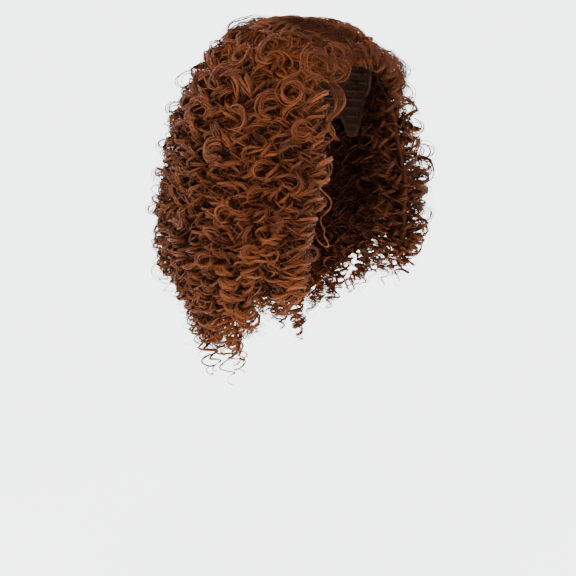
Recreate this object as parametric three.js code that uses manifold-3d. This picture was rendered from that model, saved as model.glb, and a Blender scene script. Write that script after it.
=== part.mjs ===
// A short curly wig, built as a fitted cap that carries combed crown hair, a full ring of
// ringlets round the back and sides, and two face locks. It keeps the form it has when worn.
// Millimetres, +Z up. The face opening looks towards -Y and the wearer's left is at +X.
// The origin is the point where the crown of the head touches the inside of the cap.
import * as THREE from 'three';
import { LoftGeometry } from 'three/addons/geometries/LoftGeometry.js';
import { mergeVertices } from 'three/addons/utils/BufferGeometryUtils.js';
import Module from 'manifold-3d';

const wasm = await Module();
wasm.setup();

// Cap
const HEAD_WIDTH = 151; // inside the cap, ear to ear
const HEAD_LENGTH = 188; // inside the cap, forehead to back
const CROWN_HEIGHT = 100; // from the crown down to the head's widest level
const DOME_SQUARENESS = 2.5; // exponent of the dome's side profile, 2 is a plain ellipse
const CAP_DEPTH = 150; // from the crown down to the nape edge
const CAP_WALL = 1.6;
const RING_COLUMNS = 28; // facets round the cap and the crown hair
const DOME_ROWS = 6; // rows of facets from the crown to the widest level
const SEAT_GAP = 1.2; // between the cap and the hair, and between neighbouring hair pieces
const NAPE_ROOM = 8; // how much further from the head the hair hangs below the cap's edge
const NAPE_SLOPE = 40; // length over which it moves away

// Outer form of the hair
const HAIR_LENGTH = 362; // from the crown down to the ends of the back ringlets
const SIDE_VOLUME = 71; // how far the hair stands out from the cap at its fullest, beside the ears
const BACK_VOLUME = 69; // the same behind the head
const LEFT_FACE_VOLUME = 68; // the same at the left edge of the face opening
const RIGHT_FACE_VOLUME = 58;
const CROWN_LIFT = 8; // thickness of the combed hair on top of the head
const CROWN_EDGE = 12; // level below the crown where combed hair gives way to ringlets
const ROOT_DROP = 60; // level below the crown above which the hair gets thinner towards its roots
const FACE_ANGLE = 140; // edge of the face opening, in degrees round from the back
const EAR_ANGLE = 90; // where the hair stands out by SIDE_VOLUME
const SIDE_ANGLE = 58; // where the back ringlets end and the side ringlets begin
const TEMPLE_ANGLE = 112; // where the side ringlets end and the face locks begin

// Ringlets
const LOCK_SPACING = 36; // between neighbouring ringlets at their fullest level
const LOCK_SHARE = 0.9; // width of a ringlet as a share of its spacing
const LOCK_THICKNESS = 14;
const LOCK_DEPTH = 8; // of a ringlet's middle inside the outer form
const WALL_DEPTH = 12; // of the solid wall of hair behind the ringlets
const LOCK_TURN = 110; // length of one full twist of a ringlet
const LOCK_SECTIONS = 16;
const LOCK_SIDES = 5;
const SIMPLIFY_WITHIN = 0.8; // how far a joined surface may move when its slivers are cleared away
const TIP_LENGTH = 30; // length of a ringlet's free end below the solid part of the hair
const TIP_WIDTH = 5; // width of the point of a ringlet
const FACE_LOCK_ROWS = 2; // ringlets behind the outer one on the front wall of each face lock
const FACE_LOCK_DROP = 60; // level below the crown where the outermost of them would start
const FACE_LOCK_STEP = 26; // how much lower each one behind it starts

// Combed crown hair
const PART_OFFSET = -22; // the parting lies to the wearer's right of the middle
const PART_FRONT = -74; // front end of the parting
const PART_BACK = -16; // back end of the parting
const PART_WIDTH = 5; // bare line between the combed strips
const COMBED_STRIPS = 12;
const COMBED_THICKNESS = 5;
const COMBED_SINK = 1; // how far the middle of a strip lies inside the shell it is fused to
const FRINGE_THICKNESS = 8; // hair over the forehead edge of the cap
const FRINGE_OVERHANG = 4; // how far it hangs below that edge

// Loose curl on the forehead and thin tendril beside the face, both on the wearer's right
const CURL_ANGLE = -153;
const CURL_DROP = 56; // level of the middle of the loop below the crown
const CURL_RADIUS = 12;
const CURL_THICKNESS = 5;
const CURL_SECTIONS = 15;
const STRAND_SIDES = 4; // of the curl and the tendril
const TENDRIL_ANGLE = -149;
const TENDRIL_LENGTH = 236; // from the crown down to its end
const TENDRIL_THICKNESS = 4.5;
const TENDRIL_SWING = 6; // sideways reach of its waves
const TENDRIL_WAVES = 6;

const HAIR_COLOUR = 0x7a3f1e;
const ROOT_COLOUR = 0x4a2413;
const CAP_COLOUR = 0x241611;

// Lower edge of the cap by the angle round from the back. drop is a share of CAP_DEPTH.
const CAP_EDGE = [
  { angle: 0, drop: 1 },
  { angle: 38, drop: 0.99 },
  { angle: 62, drop: 0.87 },
  { angle: 78, drop: 0.71 },
  { angle: 94, drop: 0.7 },
  { angle: 104, drop: 0.84 },
  { angle: 112, drop: 0.83 },
  { angle: 126, drop: 0.52 },
  { angle: 144, drop: 0.33 },
  { angle: 180, drop: 0.25 },
];

// How far the hair stands out at each level. drop is a share of HAIR_LENGTH, swell of the volume.
const SWELL = [
  { drop: 0, swell: 0 },
  { drop: 0.028, swell: 0.12 },
  { drop: 0.083, swell: 0.3 },
  { drop: 0.15, swell: 0.43 },
  { drop: 0.22, swell: 0.57 },
  { drop: 0.29, swell: 0.7 },
  { drop: 0.38, swell: 0.82 },
  { drop: 0.48, swell: 0.93 },
  { drop: 0.58, swell: 1 },
  { drop: 0.66, swell: 0.98 },
  { drop: 0.73, swell: 0.89 },
  { drop: 0.79, swell: 0.75 },
  { drop: 0.87, swell: 0.58 },
  { drop: 0.94, swell: 0.46 },
  { drop: 1.1, swell: 0.32 },
];

// Ends of the ringlets by the angle round from the back, as shares of HAIR_LENGTH on each side.
const HEM = [
  { angle: 0, left: 0.98, right: 0.98 },
  { angle: 45, left: 0.97, right: 0.96 },
  { angle: 62, left: 0.94, right: 0.955 },
  { angle: 80, left: 0.87, right: 0.95 },
  { angle: 92, left: 0.82, right: 0.93 },
  { angle: 99, left: 0.785, right: 0.86 },
  { angle: 106, left: 0.75, right: 0.74 },
  { angle: 114, left: 0.735, right: 0.69 },
  { angle: 119, left: 0.75, right: 0.71 },
  { angle: 127, left: 0.77, right: 0.79 },
  { angle: 142, left: 0.77, right: 0.81 },
];

// The face opening widens towards the hem: drop is a share of HAIR_LENGTH, share of FACE_ANGLE.
const FACE_EDGE = [
  { drop: 0.38, share: 1 },
  { drop: 0.5, share: 0.97 },
  { drop: 0.63, share: 0.935 },
  { drop: 0.7, share: 0.915 },
  { drop: 0.82, share: 0.89 },
  { drop: 1, share: 0.86 },
];

// How much longer or shorter each ringlet's end is than its neighbours', as shares of TIP_LENGTH.
const TIP_CHANGES = [0.1, 0.55, -0.2, 0.35, -0.35, 0.65, 0];

const SEAT = CAP_WALL + SEAT_GAP; // from the head to the inner face of the hair

const radians = (degrees) => (degrees * Math.PI) / 180;
const mix = (a, b, share) => a + (b - a) * share;
const smooth = (share) => share * share * (3 - 2 * share);
const within = (value, low, high) => Math.min(high, Math.max(low, value));

// The value of one column of a table at a place between two of its rows.
function lookUp(table, key, column, at, ease = (share) => share) {
  const next = table.findIndex((row) => row[key] > at);
  if (next === -1) return table[table.length - 1][column];
  if (next === 0) return table[0][column];
  const before = table[next - 1];
  const after = table[next];
  return mix(before[column], after[column], ease((at - before[key]) / (after[key] - before[key])));
}

// Radius of the head in plan at its widest level, towards an angle in degrees round from the back.
function headRadius(angle) {
  const across = Math.sin(radians(angle)) / (HEAD_WIDTH / 2);
  const along = Math.cos(radians(angle)) / (HEAD_LENGTH / 2);
  return 1 / Math.hypot(across, along);
}

// Share of its full plan that the head has at a level below the crown.
function headShare(drop) {
  const rise = within(1 - drop / CROWN_HEIGHT, 0, 1);
  return (1 - rise ** DOME_SQUARENESS) ** (1 / DOME_SQUARENESS);
}

// The level of a row of facets. Every shell over the head has its rows at these levels, so that
// shells with a small gap between them stay clear of each other. Later rows lead down to bottom.
function rowLevel(row, bottom, rows) {
  const turn = (Math.PI / 2) * Math.min(1, row / DOME_ROWS);
  const onDome = CROWN_HEIGHT * (1 - Math.cos(turn) ** (2 / DOME_SQUARENESS));
  const share = Math.max(0, row - DOME_ROWS) / Math.max(1, rows - DOME_ROWS);
  return Math.min(bottom, onDome) + Math.max(0, bottom - CROWN_HEIGHT) * share;
}

function pointAt(angle, radius, height) {
  return new THREE.Vector3(radius * Math.sin(radians(angle)), radius * Math.cos(radians(angle)), height);
}

// A point on a shell that lies over the head and is as thick as given.
function shellPoint(angle, drop, thickness) {
  const share = headShare(drop);
  const lift = thickness * (1 - share ** DOME_SQUARENESS);
  return pointAt(angle, (headRadius(angle) + thickness) * share, lift - drop);
}

// How far the full hair can stand out towards an angle.
function volumeAt(angle) {
  const turn = Math.abs(angle);
  if (turn <= EAR_ANGLE) return mix(BACK_VOLUME, SIDE_VOLUME, Math.sin((Math.PI / 2) * (turn / EAR_ANGLE)) ** 2);
  const towardsFace = smooth(within((turn - EAR_ANGLE) / (FACE_ANGLE - EAR_ANGLE), 0, 1));
  const towardsBrow = smooth(within((turn - FACE_ANGLE) / (180 - FACE_ANGLE), 0, 1));
  const atEdge = angle < 0 ? RIGHT_FACE_VOLUME : LEFT_FACE_VOLUME;
  return mix(SIDE_VOLUME, mix(atEdge, (LEFT_FACE_VOLUME + RIGHT_FACE_VOLUME) / 2, towardsBrow), towardsFace);
}

// A point on the outer form of the hair, moved inwards by depth.
function hairPoint(angle, drop, depth) {
  const share = headShare(drop);
  const swell = lookUp(SWELL, 'drop', 'swell', drop / HAIR_LENGTH);
  const lift = (CROWN_LIFT - depth) * (1 - share ** DOME_SQUARENESS);
  const radius = (headRadius(angle) + CAP_WALL - depth) * share + volumeAt(angle) * swell;
  return pointAt(angle, radius, lift - drop);
}

// Depth inside the hair, less near the crown where the hair is thin.
const rootedDepth = (depth, drop) => depth * within(drop / ROOT_DROP, 0.3, 1);

// How far the inner face of the hair hangs from the head, more below the cap's edge.
const innerRoom = (angle, drop) => SEAT + NAPE_ROOM * smooth(within((drop - capDrop(angle)) / NAPE_SLOPE, 0, 1));

const hemDrop = (angle) => HAIR_LENGTH * lookUp(HEM, 'angle', angle < 0 ? 'right' : 'left', Math.abs(angle), smooth);
const capDrop = (angle) => CAP_DEPTH * lookUp(CAP_EDGE, 'angle', 'drop', Math.abs(angle), smooth);

// Skins a row of closed sections into a solid that can be joined and cut.
// Sections that meet in one point or edge give triangles without area, which are left out.
function loftSolid(sections, ends = true) {
  const skin = new LoftGeometry(sections, { capStart: ends, capEnd: ends });
  const bare = new THREE.BufferGeometry().setIndex(skin.index).setAttribute('position', skin.attributes.position);
  const merged = mergeVertices(bare, 1e-4);
  const corners = [];
  for (let i = 0; i < merged.index.count; i += 3) {
    const [a, b, c] = [0, 1, 2].map((corner) => merged.index.getX(i + corner));
    if (a !== b && b !== c && c !== a) corners.push(a, b, c);
  }
  return new wasm.Manifold(new wasm.Mesh({
    numProp: 3,
    vertProperties: merged.attributes.position.array,
    triVerts: new Uint32Array(corners),
  }));
}

// Skins upright sections that stand side by side round the head. Each runs from its first row
// down to its bottom on the outside and back up on the inside.
function wallSolid({ across, firstRow, rows, bottomAt, outerAt, innerAt, ends = true }) {
  const sections = across.map((place) => {
    const outer = [];
    const inner = [];
    for (let row = firstRow; row <= rows; row += 1) {
      const drop = rowLevel(row, bottomAt(place), rows);
      outer.push(outerAt(place, drop));
      inner.push(innerAt(place, drop));
    }
    return [...outer, ...inner.reverse()];
  });
  return loftSolid(sections, ends);
}

// Places from high to low, evenly spaced, so that the walls skinned through them face outwards.
function placesBetween(from, to, columns) {
  const low = Math.min(from, to);
  const high = Math.max(from, to);
  return Array.from({ length: columns + 1 }, (_, column) => mix(high, low, column / columns));
}

// A strip of hair along a path: flat oval sections that can turn on the way and narrow to the ends.
function stripSolid(path, { width, thickness, twist = () => 0, sections, sides = LOCK_SIDES }) {
  const rings = [];
  for (let step = 0; step <= sections; step += 1) {
    const share = step / sections;
    const middle = path(share);
    const ahead = path(Math.min(1, share + 0.01));
    const forward = ahead.sub(path(Math.max(0, share - 0.01))).normalize();
    const core = new THREE.Vector3(0, 0, Math.min(middle.z, -CROWN_HEIGHT));
    const across = middle.clone().sub(core).cross(forward).normalize();
    const outward = forward.clone().cross(across);
    const ring = [];
    for (let side = 0; side < sides; side += 1) {
      const corner = new THREE.Vector2(
        (width(share) / 2) * Math.cos((2 * Math.PI * side) / sides),
        (thickness(share) / 2) * Math.sin((2 * Math.PI * side) / sides),
      ).rotateAround(new THREE.Vector2(), twist(share));
      ring.push(middle.clone().addScaledVector(across, corner.x).addScaledVector(outward, corner.y));
    }
    rings.push(ring);
  }
  return loftSolid(rings);
}

// Joins solids into one, clears away slivers and fills the pockets shut in between them.
function joined(solids) {
  const whole = solids.reduce((sum, solid) => sum.add(solid)).simplify(SIMPLIFY_WITHIN);
  return whole.decompose().reduce((most, skin) => (skin.volume() > most.volume() ? skin : most));
}

// The cap, one shell from the crown to its shaped edge
function capSolid() {
  return wallSolid({
    across: placesBetween(-180, 180, RING_COLUMNS),
    firstRow: 0,
    rows: DOME_ROWS + 2,
    bottomAt: capDrop,
    outerAt: (angle, drop) => shellPoint(angle, drop, CAP_WALL),
    innerAt: (angle, drop) => shellPoint(angle, drop, 0),
    ends: false,
  });
}

// A ringlet piece: a solid wall of hair with ringlets side by side down its outer face.
// Its angle across can pull back towards the face opening's edge on the way down.
function ringletSolid({ from, to, atFace = false }) {
  const angleAt = (place, drop) => {
    const share = atFace ? lookUp(FACE_EDGE, 'drop', 'share', drop / HAIR_LENGTH, smooth) : 1;
    return mix(from, to * share, place);
  };
  const middle = (from + to) / 2;
  const reach = headRadius(middle) + volumeAt(middle);
  const arc = Math.abs(radians(to - from)) * reach;
  const count = Math.max(2, Math.round(arc / LOCK_SPACING));
  const gap = (SEAT_GAP / 2 / headRadius(middle)) / Math.abs(radians(to - from));
  const columns = Math.max(3, Math.round((Math.abs(to - from) * RING_COLUMNS) / 360));
  const places = placesBetween(gap, atFace ? 1 : 1 - gap, columns);
  if (to < from) places.reverse();
  const wall = wallSolid({
    across: places,
    firstRow: 1,
    rows: DOME_ROWS + 4,
    bottomAt: (place) => hemDrop(mix(from, to, place)) - TIP_LENGTH,
    outerAt: (place, drop) => hairPoint(angleAt(place, drop), drop, rootedDepth(WALL_DEPTH, drop)),
    innerAt: (place, drop) => shellPoint(angleAt(place, drop), drop, innerRoom(angleAt(place, drop), drop)),
  });
  const ringlet = (place, depth, index, start) => {
    const end = hemDrop(mix(from, to, place)) + TIP_LENGTH * TIP_CHANGES[index % TIP_CHANGES.length];
    const dropAt = (share) => mix(start, end, share);
    const path = (share) => hairPoint(angleAt(place, dropAt(share)), dropAt(share), rootedDepth(depth, dropAt(share)));
    const taper = (share) => smooth(within(0.45 + share * 4, 0, 1)) * smooth(within(0.3 + (1 - share) * 8, 0, 1));
    const spread = (share) => path(share).setZ(0).length() * radians(Math.abs(angleAt(1, dropAt(share)) - from)) / count;
    return stripSolid(path, {
      width: (share) => Math.max(TIP_WIDTH, LOCK_SHARE * spread(share) * taper(share)),
      thickness: (share) => Math.max(TIP_WIDTH, LOCK_THICKNESS * taper(share)),
      twist: (share) => index * 2.4 + (2 * Math.PI * (end - start) * share) / LOCK_TURN,
      sections: LOCK_SECTIONS,
    });
  };
  const solids = [wall];
  for (let lock = 0; lock < count; lock += 1) {
    solids.push(ringlet((lock + 0.5) / count, LOCK_DEPTH, lock + Math.round(Math.abs(from)), CROWN_EDGE / 2));
  }
  const depthStep = (volumeAt(to) - LOCK_THICKNESS) / (FACE_LOCK_ROWS + 0.5);
  for (let row = 1; atFace && row <= FACE_LOCK_ROWS; row += 1) {
    const start = FACE_LOCK_DROP + FACE_LOCK_STEP * row;
    solids.push(ringlet(1 - 0.32 / count, LOCK_DEPTH + depthStep * row, row * 3, start));
  }
  return joined(solids).trimByPlane([0, 0, -1], CROWN_EDGE + SEAT_GAP / 2).simplify(SIMPLIFY_WITHIN);
}

// A point on the combed crown hair above a place in plan, moved inwards by depth
function crownPoint(x, y, depth) {
  const angle = (Math.atan2(x, y) * 180) / Math.PI;
  const reach = Math.hypot(x, y);
  let low = 0;
  let high = CROWN_HEIGHT;
  for (let round = 0; round < 24; round += 1) {
    const drop = (low + high) / 2;
    const here = hairPoint(angle, drop, depth);
    if (Math.hypot(here.x, here.y) < reach) low = drop;
    else high = drop;
  }
  return new THREE.Vector3(x, y, hairPoint(angle, low, depth).z);
}

// The crown hair: a shell, the fringe over the forehead, strips combed away from the parting,
// the loose curl and the tendril
function crownSolid() {
  const base = COMBED_THICKNESS / 2;
  const strand = base - COMBED_SINK;
  const shellDrop = CROWN_EDGE * 2;
  const shell = wallSolid({
    across: placesBetween(-180, 180, RING_COLUMNS),
    firstRow: 0,
    rows: DOME_ROWS,
    bottomAt: () => shellDrop,
    outerAt: (angle, drop) => hairPoint(angle, drop, strand),
    innerAt: (angle, drop) => shellPoint(angle, drop, SEAT),
    ends: false,
  });
  const strips = [];
  for (let strip = 0; strip < COMBED_STRIPS; strip += 1) {
    const angle = (360 * (strip + 0.5)) / COMBED_STRIPS - 180;
    const side = Math.sin(radians(angle)) * 1 > 0 ? 1 : -1;
    const along = smooth((1 + Math.cos(radians(angle))) / 2);
    const start = new THREE.Vector2(PART_OFFSET + (side * PART_WIDTH) / 2, mix(PART_FRONT, PART_BACK, along));
    const rim = hairPoint(angle, shellDrop, base);
    const path = (share) => crownPoint(mix(start.x, rim.x, share), mix(start.y, rim.y, share), base);
    const spread = (2 * Math.PI * headRadius(angle)) / COMBED_STRIPS;
    strips.push(stripSolid(path, {
      width: (share) => mix(0.3, 0.95, Math.sqrt(share)) * spread,
      thickness: (share) => COMBED_THICKNESS * mix(0.6, 1, share),
      sections: 5,
    }));
  }
  const top = joined([shell, ...strips]).trimByPlane([0, 0, 1], -CROWN_EDGE + SEAT_GAP / 2);
  const faceGap = 360 - 2 * FACE_ANGLE;
  const inset = ((SEAT_GAP / headRadius(FACE_ANGLE)) * 180) / Math.PI;
  const fringeEnd = (angle) => capDrop(Math.abs(angle) > 180 ? 360 - Math.abs(angle) : angle) + FRINGE_OVERHANG;
  const fringe = wallSolid({
    across: placesBetween(FACE_ANGLE + inset, FACE_ANGLE + faceGap - inset, 8),
    firstRow: 1,
    rows: DOME_ROWS,
    bottomAt: fringeEnd,
    outerAt: (angle, drop) => {
      const thinning = 1 - 0.5 * within(drop / fringeEnd(angle), 0, 1) ** 3;
      return shellPoint(angle, drop, SEAT + FRINGE_THICKNESS * thinning);
    },
    innerAt: (angle, drop) => shellPoint(angle, drop, SEAT),
  });
  const round = CURL_THICKNESS;
  const loopStart = Math.PI * 0.15;
  const loop = stripSolid((share) => {
    const turn = loopStart + share * 2 * Math.PI * 1.05;
    const sideways = (CURL_RADIUS * Math.sin(turn)) / headRadius(CURL_ANGLE);
    const drop = CURL_DROP - CURL_RADIUS * Math.cos(turn);
    return shellPoint(CURL_ANGLE + (sideways * 180) / Math.PI, drop, SEAT + round * (1.1 + share));
  }, { width: () => round, thickness: () => round, sections: CURL_SECTIONS, sides: STRAND_SIDES });
  const tendril = stripSolid((share) => {
    const swing = TENDRIL_SWING * Math.sin(share * TENDRIL_WAVES * 2 * Math.PI) * within(share * 6, 0, 1);
    const angle = TENDRIL_ANGLE + ((swing / headRadius(TENDRIL_ANGLE)) * 180) / Math.PI;
    const drop = mix(CAP_DEPTH * 0.2, TENDRIL_LENGTH, share);
    return shellPoint(angle, drop, SEAT + TENDRIL_THICKNESS * mix(0.7, 1.6, share));
  }, {
    width: (share) => TENDRIL_THICKNESS * mix(1.2, 0.8, share),
    thickness: () => TENDRIL_THICKNESS,
    sections: 5 * TENDRIL_WAVES,
    sides: STRAND_SIDES,
  });
  return joined([top, fringe, loop, tendril]);
}

function meshOf(name, solid, colour, roughness) {
  const made = solid.getMesh();
  const geometry = new THREE.BufferGeometry();
  geometry.setAttribute('position', new THREE.BufferAttribute(new Float32Array(made.vertProperties), 3));
  geometry.setIndex(new THREE.BufferAttribute(new Uint32Array(made.triVerts), 1));
  geometry.computeVertexNormals();
  const material = new THREE.MeshStandardMaterial({ color: colour, roughness, metalness: 0 });
  const mesh = new THREE.Mesh(geometry, material);
  mesh.name = name;
  return mesh;
}

const wig = new THREE.Group();
wig.add(meshOf('cap', capSolid(), CAP_COLOUR, 0.85));
wig.add(meshOf('crown_hair', crownSolid(), ROOT_COLOUR, 0.5));
wig.add(meshOf('back_ringlets', ringletSolid({ from: -SIDE_ANGLE, to: SIDE_ANGLE }), HAIR_COLOUR, 0.55));
for (const [side, sign] of [['left', 1], ['right', -1]]) {
  const sidePiece = ringletSolid({ from: sign * SIDE_ANGLE, to: sign * TEMPLE_ANGLE });
  const facePiece = ringletSolid({ from: sign * TEMPLE_ANGLE, to: sign * FACE_ANGLE, atFace: true });
  wig.add(meshOf(`${side}_side_ringlets`, sidePiece, HAIR_COLOUR, 0.55));
  wig.add(meshOf(`${side}_face_locks`, facePiece, HAIR_COLOUR, 0.55));
}
export default wig;
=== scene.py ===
"""Dresses the short curly wig: curls, combed crown hair, loose strands, cap lining and studio."""

import math

import bmesh
import bpy
import numpy as np
from bpy.props import FloatProperty, FloatVectorProperty, IntProperty, PointerProperty
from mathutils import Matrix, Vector


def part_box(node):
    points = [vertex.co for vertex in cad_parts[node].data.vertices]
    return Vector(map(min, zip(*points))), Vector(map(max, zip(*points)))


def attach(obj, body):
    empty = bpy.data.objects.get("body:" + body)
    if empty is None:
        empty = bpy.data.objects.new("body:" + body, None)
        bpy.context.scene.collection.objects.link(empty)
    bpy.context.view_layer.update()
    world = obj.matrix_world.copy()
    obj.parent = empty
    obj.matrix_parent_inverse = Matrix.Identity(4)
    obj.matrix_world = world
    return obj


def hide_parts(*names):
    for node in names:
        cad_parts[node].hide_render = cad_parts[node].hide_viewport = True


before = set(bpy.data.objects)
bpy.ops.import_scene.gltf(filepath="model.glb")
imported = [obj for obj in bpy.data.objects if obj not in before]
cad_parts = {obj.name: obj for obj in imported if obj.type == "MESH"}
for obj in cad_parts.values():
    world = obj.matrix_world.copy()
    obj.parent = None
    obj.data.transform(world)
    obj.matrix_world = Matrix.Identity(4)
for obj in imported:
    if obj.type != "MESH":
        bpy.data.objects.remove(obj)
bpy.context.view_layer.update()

bl_info = {
    "name": "Short Curly Wig",
    "version": (1, 0, 0),
    "blender": (4, 5, 0),
    "location": "View3D > Sidebar > Wig",
    "description": "Builds a short curly wig round its cap, with its studio",
    "category": "Add Mesh",
}

# Sizes that the CAD part gives, in metres
CAP_LOW, CAP_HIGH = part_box("cap")
CAP_WALL = 0.0016
SEAT = CAP_WALL + 0.0012
HEAD_WIDTH = CAP_HIGH.x - CAP_LOW.x - 2 * CAP_WALL
HEAD_LENGTH = 2 * (CAP_HIGH.y - CAP_WALL)
CAP_DEPTH = -CAP_LOW.z
CROWN_HEIGHT = 0.1
DOME_SQUARENESS = 2.5
RIM_DROP = 0.024
ROOT_DROP = 0.06
TIP_LENGTH = 0.03
FACE_ANGLE = 140
SIDE_ANGLE = 58
TEMPLE_ANGLE = 112
PART_OFFSET = -0.022
PART_FRONT = -0.074
PART_BACK = -0.016
PART_WIDTH = 0.005
PART_ANGLE = math.degrees(math.atan2(PART_OFFSET, PART_FRONT))
NAPE_ROOM = 0.008

# Shares of the cap's depth at which its edge lies, by the angle round from the back
CAP_EDGE = [(0, 1), (38, 0.99), (62, 0.87), (78, 0.71), (94, 0.7), (104, 0.84), (112, 0.83), (126, 0.52),
            (144, 0.33), (180, 0.25)]
# Shares of the hair's volume by shares of its length
SWELL = [(0, 0), (0.028, 0.12), (0.083, 0.3), (0.15, 0.43), (0.22, 0.57), (0.29, 0.7), (0.38, 0.82),
         (0.48, 0.93), (0.58, 1), (0.66, 0.98), (0.73, 0.89), (0.79, 0.75), (0.87, 0.58), (0.94, 0.46),
         (1.1, 0.32)]
# Shares of the hair's length at which the curls end, by the angle, on each side
HEM_LEFT = [(0, 0.98), (45, 0.97), (62, 0.94), (80, 0.87), (92, 0.82), (99, 0.785), (106, 0.75), (114, 0.735),
            (119, 0.75), (127, 0.77), (142, 0.77)]
HEM_RIGHT = [(0, 0.98), (45, 0.96), (62, 0.955), (80, 0.95), (92, 0.93), (99, 0.86), (106, 0.74), (114, 0.69),
             (119, 0.71), (127, 0.79), (142, 0.81)]
# Shares of the face opening's angle by shares of the hair's length
FACE_EDGE = [(0.38, 1), (0.5, 0.97), (0.63, 0.935), (0.7, 0.915), (0.82, 0.89), (1, 0.86)]
# Length of one turn of a curl, in metres, by the distance from its root
PITCH = [(0, 0.044), (0.05, 0.041), (0.1, 0.036), (0.15, 0.029), (0.2, 0.024), (0.26, 0.020), (0.33, 0.0165),
         (0.5, 0.015)]
# Shares of the curl radius by the distance from the root
COIL = [(0, 0.12), (0.012, 0.38), (0.028, 0.8), (0.05, 1), (0.1, 1.1), (0.16, 1), (0.25, 0.9), (0.35, 0.82),
        (0.6, 0.75)]

# Large swirls that lie on the hair: angle, level below the crown, radius, first and last bend
SWIRLS = [(-122, 0.067, 0.0125, 0, 7.6), (-136, 0.042, 0.015, -0.5, 3.6), (-112, 0.082, 0.0135, -0.4, 3.5),
          (-76, 0.054, 0.012, -0.6, 3.2), (-85, 0.035, 0.010, 0, 6), (-106, 0.03, 0.012, -0.5, 3.3),
          (-95, 0.095, 0.012, 3, 6.8), (-127, 0.104, 0.010, -0.8, 4.4), (-110, 0.144, 0.012, -0.5, 3.6),
          (-86, 0.126, 0.011, -0.8, 3.8), (-123, 0.157, 0.010, 2.8, 6.6), (-95, 0.19, 0.010, -0.6, 4),
          (-116, 0.197, 0.009, 3, 6.8), (-85, 0.239, 0.009, -0.4, 4.2), (-106, 0.228, 0.009, -0.8, 3.6),
          (-66, 0.09, 0.012, -0.6, 3.4), (-70, 0.2, 0.010, 2.6, 6.6)]
# Open loops that stand out from the hair: angle, level below the crown, radius
LOOPS = [(133, 0.139, 0.012), (128, 0.162, 0.0115), (124, 0.187, 0.011), (131, 0.073, 0.010),
         (126, 0.215, 0.010), (131, 0.112, 0.009), (121, 0.236, 0.009), (-40, 0.16, 0.008),
         (-36, 0.09, 0.008), (-34, 0.06, 0.009), (121, 0.255, 0.008), (-37, 0.272, 0.011),
         (-35, 0.012, 0.008), (-33, 0.13, 0.007), (-36, 0.2, 0.007), (150, 0.05, 0.008)]
LOOP_BENDS = (-0.8, 5.2)
# Free corkscrew ends: angle, first and last level below the crown
CORKSCREWS = [(-85, 0.31, 0.368), (-76, 0.32, 0.384), (-64, 0.32, 0.372), (-54, 0.31, 0.384),
              (-120, 0.25, 0.3), (-116, 0.23, 0.285), (-125, 0.26, 0.296), (-106, 0.225, 0.27),
              (124, 0.24, 0.292), (117, 0.24, 0.285), (108, 0.235, 0.28), (96, 0.25, 0.31),
              (78, 0.28, 0.335), (20, 0.32, 0.37), (-20, 0.32, 0.372)]

# Upper end of the random start of a curl, in radians
FULL_TURN = 6.28
# Steps of the paths that strands follow, and the length over which they are softened
PATH_STEP = 0.001
PATH_SOFTENING = 0.012
# Half widths by which the widest strand of a curl is wider than the narrowest
EXTRA_WIDTH = 1.3
# How far a lock wanders: degrees round the head, and metres inwards
SWAY = 2.7
WAVER_DEPTH = 0.0036
# Depths under the hair's surface, and how far clumps rise and the hem and brow are tucked in
OUTER_DEPTH = 0.0085
ROOT_DEPTH = 0.0065
CLUMP_RISE = 0.0036
HEM_TUCK = 0.009
BROW_TUCK = 0.003
# Share by which the locks of a clump close up at their ends
GATHERED_SHARE = 0.8
# Layers of inner locks: depth, first level, spacing and shade
INNER_LAYERS = [(0.02, 0.035, 0.0115, 0.2), (0.034, 0.08, 0.016, 0.4)]
SCALP_SPACING = 0.0115
# Depths of the rows of locks behind the face's edge, and the degrees that are left free for them
FACE_DEPTHS = (0.006, 0.015, 0.024, 0.033, 0.042, 0.052)
FACE_ROOM = 4
# Solid hair under the combed lines and under the curls
BASE_DROP = 0.036
BASE_DEPTH = 0.0042
UNDER_DEPTH = 0.024
UNDER_SHORTER = 0.032
# Short locks at the front on each side: side, count, and the angles that they fall between
HAIRLINE = [(-1, 18, -141, -124), (1, 40, -188, -232)]
HAIRLINE_CLUMP = 4
COMBED_LINES = 140
STRAY_STRANDS = 140
# How far the inner side of the cap's net lies outside the head
NET_INSIDE = 0.0007
# Rows of stitched tape in the cap: first and last level, spacing and height
TAPE_LEVELS = (0.034, 0.142)
TAPE_SPACING = 0.0095
TAPE_HEIGHT = 0.0032
# Height of the middle of the wig, and how far to the left of it and below it the camera aims
MIDDLE_HEIGHT = -0.15
AIM_LEFT = 0.01
AIM_BELOW = 0.138
# Lamps: name, metres to the right of the wig, above it and towards the camera, watts, size
LAMPS = [("key", -0.9, 1.15, 1.3, 46, 1.1), ("fill", 1.3, 0.5, 1.1, 26, 1.2), ("top", 0, 1.6, -0.1, 22, 1.4)]


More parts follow.
